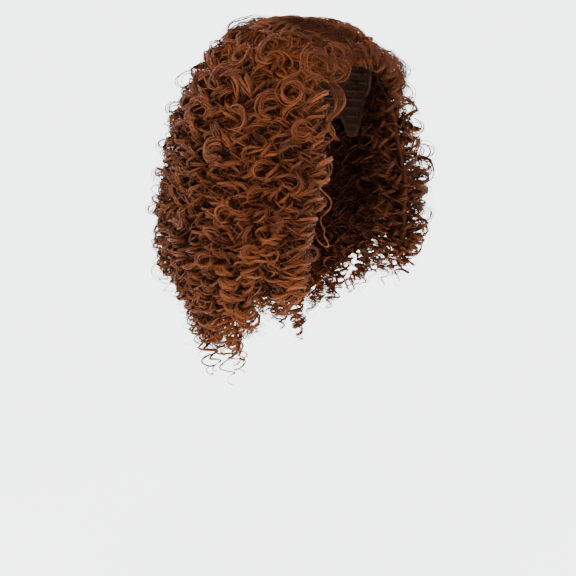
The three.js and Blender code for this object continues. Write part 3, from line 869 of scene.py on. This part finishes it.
def face_walls(guides, scene, rng, sign, step=5, under=0.0, thick=1.0):
    """Locks at several depths down the edge of the face opening, or a few degrees behind it."""
    form, curls = scene.wig_form, scene.wig_curls
    for row, depth in enumerate(FACE_DEPTHS):
        angle = sign * (FACE_ANGLE - step - 2 * (row % 2))
        begin = 0.04 + 0.014 * row
        end = float(hem_drop(form, angle)) + TIP_LENGTH * rng.uniform(-0.6, 0.4)
        path = lock_path(form, angle, end, depth, rng, begin, sway=1)
        # Deeper rows get a larger share of painted shade
        guides.add(path, **random_turn(rng), run_from=begin + 0.06,
                   radius=curls.radius * rng.uniform(0.85, 1.2), tone=rng.uniform(0.1, 0.9),
                   under=under + 0.06 * row, thick=thick)


def curl_piece(name, scene, low, high, node, seed, face_sign=0):
    """The curls between two angles: outer locks in one piece, inner and neck locks in another."""
    curls = scene.wig_curls
    rng = np.random.default_rng(curls.seed + seed)
    material = hair_material("curled_fibres", scene.wig_colours)
    inside = (low + (FACE_ROOM if face_sign < 0 else 0), high - (FACE_ROOM if face_sign > 0 else 0))
    outer = Guides()
    outer_locks(outer, scene, rng, *inside)
    if face_sign:
        face_walls(outer, scene, rng, face_sign)
    kept(grown(name, outer, material, strands=curls.strands, half_width=curls.half_width,
               spread=0.6, frizz=curls.frizz, fan=0.004, seed=seed), "curly_hair", node)

    inner = Guides()
    if face_sign:
        # The rows behind the face's edge get painted shade through their under share
        for step in (9, 13):
            face_walls(inner, scene, rng, face_sign, step, 0.3, thick=1.6)
    for layer in INNER_LAYERS:
        inner_locks(inner, scene, rng, *inside, *layer)
    scalp_locks(inner, scene, rng, low, high)
    kept(grown(name + "_inner", inner, material, strands=2, half_width=curls.half_width,
               spread=1.0, frizz=curls.frizz * 2, seed=seed + 10), "curly_hair", node)


# Combed and loose strands

def combed_lines(scene, rng):
    """Lines combed from the parting towards every side, which start to wave below the crown."""
    form, curls = scene.wig_form, scene.wig_curls
    guides = Guides()
    for strand in range(COMBED_LINES):
        angle = 360 * (strand + rng.uniform(0, 1)) / COMBED_LINES - 180
        reach = rng.uniform(0.035, 0.07)
        if abs(angle) > FACE_ANGLE:
            reach = min(reach, float(cap_drop(angle)) + 0.002)
        x, y = parting_root(angle, rng.uniform(-0.04, 0.04))
        rim = hair_point(form, angle, RIM_DROP, 0.0)
        share = np.linspace(0, 1, 10)[:-1]
        depth = rng.uniform(0.0015, 0.0055)
        top = crown_points(form, mix(x, rim[0], share), mix(y, rim[1], share), depth)
        below = hair_point(form, angle, np.linspace(RIM_DROP, reach, 6), depth)
        guides.add(np.concatenate([top, below]), turn_start=rng.uniform(0, FULL_TURN),
                   radius=curls.radius * rng.uniform(0.7, 1.2), per_turn=8, pitch_share=0.7,
                   coil_share=lambda share: 0.25 + 0.75 * ease(share * 1.5), tone=rng.uniform(0.1, 1.1),
                   thick=rng.uniform(0.7, 1.3), flat=0.5, tip=0.02)
    return guides


def hairline_lines(rng):
    """Short waves that fall from the front of the parting to both sides, in clumps."""
    guides = Guides()
    for side, count, near, far in HAIRLINE:
        for lock in range(count):
            place = lock % HAIRLINE_CLUMP
            if place == 0:
                start, hand = random_turn(rng).values()
                clump_tone = rng.uniform(-0.3, 0.3)
            share = (lock - place + 2 + (place - 1.5) * 0.45 + rng.uniform(-0.3, 0.3)) / count
            turn = np.linspace(0, 1, 30)
            angle = mix(PART_ANGLE + rng.uniform(-5, 5), mix(near, far, share), ease(turn * 1.5))
            below = mix(0.043, 0.1, share) * rng.uniform(0.85, 1.15)
            first = mix(0.02, 0.034, rng.uniform(0, 1))
            drops = mix(first, below, turn ** 1.2)
            stand = 0.024 if side < 0 else mix(0.009, 0.03, share ** 1.5)
            out = SEAT + 0.002 + stand * np.sin(turn * 1.9) * rng.uniform(0.7, 1.1)
            guides.add(shell_point(angle, drops, out), turn_start=start + rng.uniform(-0.4, 0.4), hand=hand,
                       radius=0.0095, run_from=0.022, tone=rng.uniform(-0.4, 0.6) + clump_tone,
                       pitch_share=0.7, thick=rng.uniform(0.6, 1.0))
    return guides


def forehead_lines(rng):
    """The round curl on the forehead, the waves beside it and the tendril with its end loop."""
    guides = Guides()
    for strand in range(6):
        turn = np.linspace(0, 1, 60)
        bend = math.pi * (1.75 - 0.12 * strand) + turn * 2 * math.pi * (1.1 + 0.12 * strand)
        size = mix(0.0128, 0.0098, turn) * rng.uniform(0.82, 1.12)
        drops = mix(0.0455, 0.048, turn) - size * np.cos(bend) + rng.uniform(-0.0015, 0.0015)
        angle = -148.5 + np.degrees(size * 1.25 * np.sin(bend) / 0.088)
        path = shell_point(angle, drops, SEAT + 0.008 + 0.004 * turn + 0.001 * strand)
        guides.add(path, turn_start=rng.uniform(0, FULL_TURN), radius=0.0008, per_turn=8, widest=0.003,
                   run_from=0.15, tone=rng.uniform(0, 0.7), thick=0.7)
    for strand in range(8):
        share = strand / 7
        turn = np.linspace(0, 1, 40)
        drops = mix(0.058, 0.118, turn)
        middle = mix(-150.5, -144.5, share) + 6 * (turn - 0.3) * (1 - share)
        swing = mix(4.6, 3.4, share) * np.cos((drops - 0.077) * 2 * math.pi / 0.046)
        path = shell_point(middle - swing, drops, SEAT + 0.009 + 0.004 * turn)
        guides.add(path, turn_start=0.3 * strand, radius=0.0006, per_turn=6, widest=0.003, run_from=0.1,
                   tone=rng.uniform(0.2, 0.8), thick=0.8)
    turn = np.linspace(0, 1, 120)
    drops = mix(0.085, 0.212, turn)
    middle = mix(-145.0, -142.5, ease(turn * 1.6))
    swing = 4.2 * np.cos((drops - 0.11) * 2 * math.pi / 0.0365) * mix(0.8, 1, ease(turn * 3))
    hanging = shell_point(middle - swing, drops, SEAT + 0.011)
    bend = np.linspace(0, 1.75 * math.pi, 24)[1:]
    loop_drops = 0.2215 - 0.0085 * np.cos(bend + 0.3)
    loop = shell_point(-140.6 + 4.6 * np.sin(bend + 2.6), loop_drops, SEAT + 0.011)
    for strand in range(2):
        path = np.concatenate([hanging, loop]) + 0.0009 * strand
        guides.add(path, turn_start=0, radius=0.0004, per_turn=8, widest=0.0028, run_from=0.1, tone=1.0,
                   thick=1.2)
    return guides


def add_swirl(guides, form, rng, angle, drop, radius, first, last, standing=0.0, strands=9, thick=1.2):
    """Strands side by side in one round bend, flat on the hair or standing out from it."""
    reach = float(np.linalg.norm(hair_point(form, angle, drop, 0.0)[:2]))
    for _ in range(strands):
        bend = np.linspace(first, last, 40) + rng.uniform(-0.5, 0.5)
        size = radius * rng.uniform(0.66, 1.16) * (1 + 0.12 * np.sin(bend * 0.8 + rng.uniform(0, FULL_TURN)))
        sideways = size * np.sin(bend) + rng.uniform(-0.001, 0.001)
        level = drop - size * np.cos(bend) * rng.uniform(0.85, 1.1) + rng.uniform(-0.001, 0.001)
        turned = angle + np.degrees(sideways * (1 - standing) / reach)
        lift = 0.002 + 0.003 * np.sin(np.linspace(0, math.pi, 40)) + rng.uniform(-0.001, 0.001)
        path = hair_point(form, turned, level, -lift - sideways * standing)
        guides.add(path, turn_start=rng.uniform(0, FULL_TURN), radius=0.0007, per_turn=6, widest=0.004,
                   run_from=0.12, tone=rng.uniform(0.0, 0.9), thick=thick * rng.uniform(0.4, 0.95), tip=0.015)


def swirl_lines(form, rng):
    """Round bends that lie on the hair, and open loops at its outline."""
    guides = Guides()
    for angle, drop, radius, first, last in SWIRLS:
        add_swirl(guides, form, rng, angle, drop, radius, first, last)
    for angle, drop, radius in LOOPS:
        add_swirl(guides, form, rng, angle, drop, radius, *LOOP_BENDS, standing=1.0, strands=5, thick=1.5)
    return guides


def corkscrew_lines(form, rng):
    """Free curl ends that hang below the hem."""
    guides = Guides()
    for angle, begin, end in CORKSCREWS:
        drops = np.linspace(begin, end, 30)
        path = hair_point(form, angle + 2.5 * np.sin((drops - begin) * 90), drops, 0.006)
        guides.add(path, **random_turn(rng), run_from=0.3, radius=0.0105, pitch_share=0.95,
                   tone=rng.uniform(0.2, 0.8), thick=1.5, per_turn=12)
    return guides


def stray_lines(scene, rng):
    """Single thin strands that leave the hair near its outline."""
    form, curls = scene.wig_form, scene.wig_curls
    guides = Guides()
    for _ in range(STRAY_STRANDS):
        angle = rng.uniform(-FACE_ANGLE, FACE_ANGLE)
        hem = float(hem_drop(form, angle))
        begin = rng.uniform(0.03, hem - 0.05)
        length = rng.uniform(0.05, 0.13)
        drops = np.linspace(begin, min(begin + length, hem + 0.03), 30)
        stand = 0.003 if abs(angle) > TEMPLE_ANGLE else -0.005
        out = mix(0.012, rng.uniform(stand, 0.005), ease(np.linspace(0, 1.6, 30)))
        path = hair_point(form, pulled_in(form, angle, drops), drops, out)
        guides.add(path, **random_turn(rng), run_from=begin + 0.06,
                   radius=curls.radius * rng.uniform(0.8, 1.35), tone=rng.uniform(0.2, 1),
                   thick=rng.uniform(0.4, 0.65), pitch_share=rng.uniform(0.9, 1.3))
    return guides


class WIG_OT_back_curls(bpy.types.Operator):
    """Grow the curls behind the head"""

    bl_idname = "wig.back_curls"
    bl_label = "Back Curls"

    def execute(self, context):
        curl_piece("back_curls_left", context.scene, 0, SIDE_ANGLE, "back_ringlets", 1)
        curl_piece("back_curls_right", context.scene, -SIDE_ANGLE, 0, "back_ringlets", 2)
        return {"FINISHED"}


class WIG_OT_side_curls(bpy.types.Operator):
    """Grow the curls beside and behind the ears"""

    bl_idname = "wig.side_curls"
    bl_label = "Side Curls"

    def execute(self, context):
        curl_piece("left_side_curls", context.scene, SIDE_ANGLE, TEMPLE_ANGLE, "left_side_ringlets", 3)
        curl_piece("right_side_curls", context.scene, -TEMPLE_ANGLE, -SIDE_ANGLE, "right_side_ringlets", 4)
        return {"FINISHED"}


class WIG_OT_face_curls(bpy.types.Operator):
    """Grow the curls beside the face opening"""

    bl_idname = "wig.face_curls"
    bl_label = "Face Curls"

    def execute(self, context):
        curl_piece("left_face_curls", context.scene, TEMPLE_ANGLE, FACE_ANGLE, "left_face_locks", 5, 1)
        curl_piece("right_face_curls", context.scene, -FACE_ANGLE, -TEMPLE_ANGLE, "right_face_locks", 6, -1)
        return {"FINISHED"}


class WIG_OT_combed_crown(bpy.types.Operator):
    """Comb the hair on the crown away from the parting"""

    bl_idname = "wig.combed_crown"
    bl_label = "Combed Crown"

    def execute(self, context):
        scene = context.scene
        form, curls, colours = scene.wig_form, scene.wig_curls, scene.wig_colours
        lines = combed_lines(scene, np.random.default_rng(curls.seed + 20))
        fibres = hair_material("combed_fibres", colours, dark=0.2, gloss=0, contrast=2.6)
        kept(grown("combed_hair", lines, fibres, strands=2, half_width=curls.half_width,
                   frizz=curls.frizz, fan=0.003, seed=20), "combed_hair", "crown_hair")

        angles = np.linspace(-180, 180, 73)[:-1]
        drops = np.linspace(0, 1, 20)[:, None] ** 1.4 * BASE_DROP
        outer = hair_point(form, angles[None, :], drops, BASE_DEPTH)
        inner = shell_point(angles[None, :], drops, SEAT)
        # The base under the combed lines takes the dark under fibres, painted shade in the gaps between them
        base = walled("crown_base", outer, inner, True, under_material(colours))
        kept(base, "combed_hair", "crown_hair")
        return {"FINISHED"}


class WIG_OT_under_hair(bpy.types.Operator):
    """Build the shaded mass of hair behind the outer curls"""

    bl_idname = "wig.under_hair"
    bl_label = "Under Hair"

    def execute(self, context):
        form = context.scene.wig_form
        fibres = bpy.data.materials["under_fibres"]
        angles = np.linspace(FACE_ANGLE - 1, -FACE_ANGLE + 1, 90)
        share = np.linspace(0, 1, 44)[:, None]
        bottom = hem_drop(form, angles)[None, :] - UNDER_SHORTER
        drops = mix(0.022, bottom, share)
        turned = pulled_in(form, angles[None, :], drops)
        lumps = 0.0025 * np.sin(turned * 0.45 + drops * 260) * np.sin(drops * 330 + turned * 0.2)
        depth = rooted(UNDER_DEPTH, drops) + lumps
        outer = hair_point(form, turned, drops, depth)
        inner = hair_point(form, turned, drops, depth + 0.004 * ease(drops / 0.1))
        kept(walled("under_hair", outer, inner, False, fibres), "curly_hair")
        return {"FINISHED"}


class WIG_OT_loose_strands(bpy.types.Operator):
    """Add the hairline, the forehead curl, the tendril, swirls, corkscrew ends and stray strands"""

    bl_idname = "wig.loose_strands"
    bl_label = "Loose Strands"

    def execute(self, context):
        scene = context.scene
        form, curls, colours = scene.wig_form, scene.wig_curls, scene.wig_colours
        rng = np.random.default_rng(curls.seed + 40)
        curled = hair_material("curled_fibres", colours)
        front = hair_material("front_fibres", colours, dark=0.16, gloss=0.06, contrast=2.4)
        crown, loose = ("combed_hair", "crown_hair"), ("curly_hair",)
        for name, lines, material, place, settings in (
                ("front_hairline", hairline_lines(rng), front, crown,
                 {"strands": 3, "fan": 0.002, "frizz": curls.frizz, "seed": 41}),
                ("forehead_curl", forehead_lines(rng), curled, crown,
                 {"strands": 1, "frizz": 0.0006, "seed": 42, "sides": 4}),
                ("large_swirls", swirl_lines(form, rng), curled, loose,
                 {"strands": 1, "frizz": 0.0008, "seed": 44, "sides": 4}),
                ("corkscrew_ends", corkscrew_lines(form, rng), curled, loose,
                 {"strands": 4, "spread": 0.15, "frizz": 0.0008, "seed": 45}),
                ("stray_strands", stray_lines(scene, rng), curled, loose,
                 {"strands": 1, "frizz": curls.frizz, "seed": 43})):
            kept(grown(name, lines, material, half_width=curls.half_width, **settings), *place)
        return {"FINISHED"}


class WIG_OT_cap(bpy.types.Operator):
    """Build the cap with its binding and its rows of stitched tape"""

    bl_idname = "wig.cap"
    bl_label = "Cap"

    def execute(self, context):
        colours = context.scene.wig_colours
        net = lining_material(colours)
        tape = tape_material(colours)
        angles = np.linspace(-180, 180, 97)[:-1]
        share = np.linspace(0, 1, 26)[:, None]
        drops = share ** 1.5 * cap_drop(angles)[None, :]
        outer = shell_point(angles[None, :], drops, CAP_WALL)
        inner = shell_point(angles[None, :], drops, NET_INSIDE)
        kept(walled("cap_net", outer, inner, True, net), "cap_net", "cap")

        edge = cap_drop(angles)[None, :]
        drops = edge - mix(0.007, 0, np.linspace(0, 1, 5)[:, None])
        bulge = np.sin(np.linspace(0.15, 0.85, 5) * math.pi)[:, None]
        binding = walled("cap_binding", shell_point(angles[None, :], drops, CAP_WALL + 0.0005 * bulge),
                         shell_point(angles[None, :], drops, NET_INSIDE - 0.0006 * bulge), True, tape)
        kept(binding, "cap_net", "cap")

        across = np.linspace(-FACE_ANGLE + 8, FACE_ANGLE - 8, 90)
        for row, level in enumerate(np.arange(*TAPE_LEVELS, TAPE_SPACING)):
            reach = [angle for angle in across if cap_drop(angle) > level + 0.01]
            if len(reach) < 8:
                continue
            runs = np.split(np.array(reach), np.where(np.diff(reach) > 4)[0] + 1)
            for part, run in enumerate(runs):
                if len(run) < 4:
                    continue
                heights = level + np.linspace(0, TAPE_HEIGHT, 2)[:, None]
                track = walled(f"weft_{row}_{part}", shell_point(run[None, ::-1], heights, 0.0009),
                               shell_point(run[None, ::-1], heights, 0.0001), False, tape)
                kept(track, "cap_net", "cap")
        return {"FINISHED"}


class WIG_OT_studio(bpy.types.Operator):
    """Set up the pale floor, the soft lights and the camera"""

    bl_idname = "wig.studio"
    bl_label = "Studio"

    def execute(self, context):
        scene = context.scene
        studio = scene.wig_studio
        material, nodes, shader, place = new_material("backdrop_paper")
        grain = nodes.noise(place, 3.0, 2.0)
        bright = tuple(min(1, c * 1.02) for c in studio.backdrop)
        colour = nodes.mixed(grain, (*studio.backdrop, 1), (*bright, 1))
        nodes.tree.links.new(colour.socket, shader.inputs["Base Color"])
        shader.inputs["Roughness"].default_value = 0.8
        shader.inputs["Emission Color"].default_value = (1, 1, 1, 1)
        shader.inputs["Emission Strength"].default_value = 1.2
        bends = np.linspace(0.15, math.pi / 2, 9)
        profile = [(0, 0), (0.5, 0), (1.2, 0), (1.9, 0)]
        profile += [(1.9 + 0.9 * math.sin(t), 0.9 - 0.9 * math.cos(t)) for t in bends]
        profile += [(2.8, 2.0), (2.8, 3.4)]
        rings = np.array([[(r * math.cos(t), r * math.sin(t), studio.floor + z)
                           for t in np.linspace(0, 2 * math.pi, 65)[:-1]] for r, z in profile])
        rows, columns = rings.shape[:2]
        grid = np.arange(rows * columns).reshape(rows, columns)
        turned = np.roll(grid, -1, axis=1)
        quads = np.stack([grid[:-1], turned[:-1], turned[1:], grid[1:]], -1).reshape(-1, 4)[:, ::-1]
        mesh = bpy.data.meshes.new("backdrop")
        mesh.from_pydata(rings.reshape(-1, 3), [], quads)
        cleaned("backdrop", mesh, material)

        world = bpy.data.worlds.new("studio_light")
        world.use_nodes = True
        world.node_tree.nodes["Background"].inputs["Color"].default_value = (0.93, 0.96, 1, 1)
        world.node_tree.nodes["Background"].inputs["Strength"].default_value = 1.1
        scene.world = world

        azimuth, elevation = studio.azimuth, studio.elevation
        back = Vector((math.sin(azimuth) * math.cos(elevation), -math.cos(azimuth) * math.cos(elevation),
                       math.sin(elevation)))
        right = Vector((math.cos(azimuth), math.sin(azimuth), 0))
        up = back.cross(right)
        middle = Vector((0, 0, MIDDLE_HEIGHT))
        for name, across, height, near, power, size in LAMPS:
            lamp = bpy.data.lights.new(name, "AREA")
            lamp.energy = power
            lamp.size = size
            light = bpy.data.objects.new(name, lamp)
            light.location = middle + right * across + up * height + back * near
            light.rotation_euler = (middle - light.location).to_track_quat("-Z", "Y").to_euler()
            scene.collection.objects.link(light)

        lens = bpy.data.cameras.new("camera")
        lens.lens = studio.lens
        lens.sensor_width = 36
        camera = bpy.data.objects.new("camera", lens)
        camera.location = middle + back * studio.distance
        aim = middle - right * AIM_LEFT - up * AIM_BELOW
        camera.rotation_euler = (aim - camera.location).to_track_quat("-Z", "Y").to_euler()
        scene.collection.objects.link(camera)
        scene.camera = camera
        return {"FINISHED"}


class WIG_PT_parts(bpy.types.Panel):
    bl_idname = "WIG_PT_parts"
    bl_label = "Short Curly Wig"
    bl_space_type = "VIEW_3D"
    bl_region_type = "UI"
    bl_category = "Wig"

    def draw(self, context):
        layout = self.layout
        for group in (context.scene.wig_form, context.scene.wig_curls, context.scene.wig_colours,
                      context.scene.wig_studio):
            box = layout.box()
            for name in group.__annotations__:
                box.prop(group, name)
        for operator in OPERATORS:
            layout.operator(operator.bl_idname)


OPERATORS = (WIG_OT_back_curls, WIG_OT_side_curls, WIG_OT_face_curls, WIG_OT_combed_crown, WIG_OT_under_hair,
             WIG_OT_loose_strands, WIG_OT_cap, WIG_OT_studio)
GROUPS = {"wig_form": WigForm, "wig_curls": WigCurls, "wig_colours": WigColours, "wig_studio": WigStudio}


def register():
    for kind in (*GROUPS.values(), *OPERATORS, WIG_PT_parts):
        bpy.utils.register_class(kind)
    for name, kind in GROUPS.items():
        setattr(bpy.types.Scene, name, PointerProperty(type=kind))


def unregister():
    for name in GROUPS:
        delattr(bpy.types.Scene, name)
    for kind in reversed((*GROUPS.values(), *OPERATORS, WIG_PT_parts)):
        bpy.utils.unregister_class(kind)


def main():
    register()
    bpy.ops.wig.back_curls()
    bpy.ops.wig.side_curls()
    bpy.ops.wig.face_curls()
    bpy.ops.wig.combed_crown()
    bpy.ops.wig.under_hair()
    bpy.ops.wig.loose_strands()
    bpy.ops.wig.cap()
    bpy.ops.wig.studio()


if __name__ == "__main__":
    main()
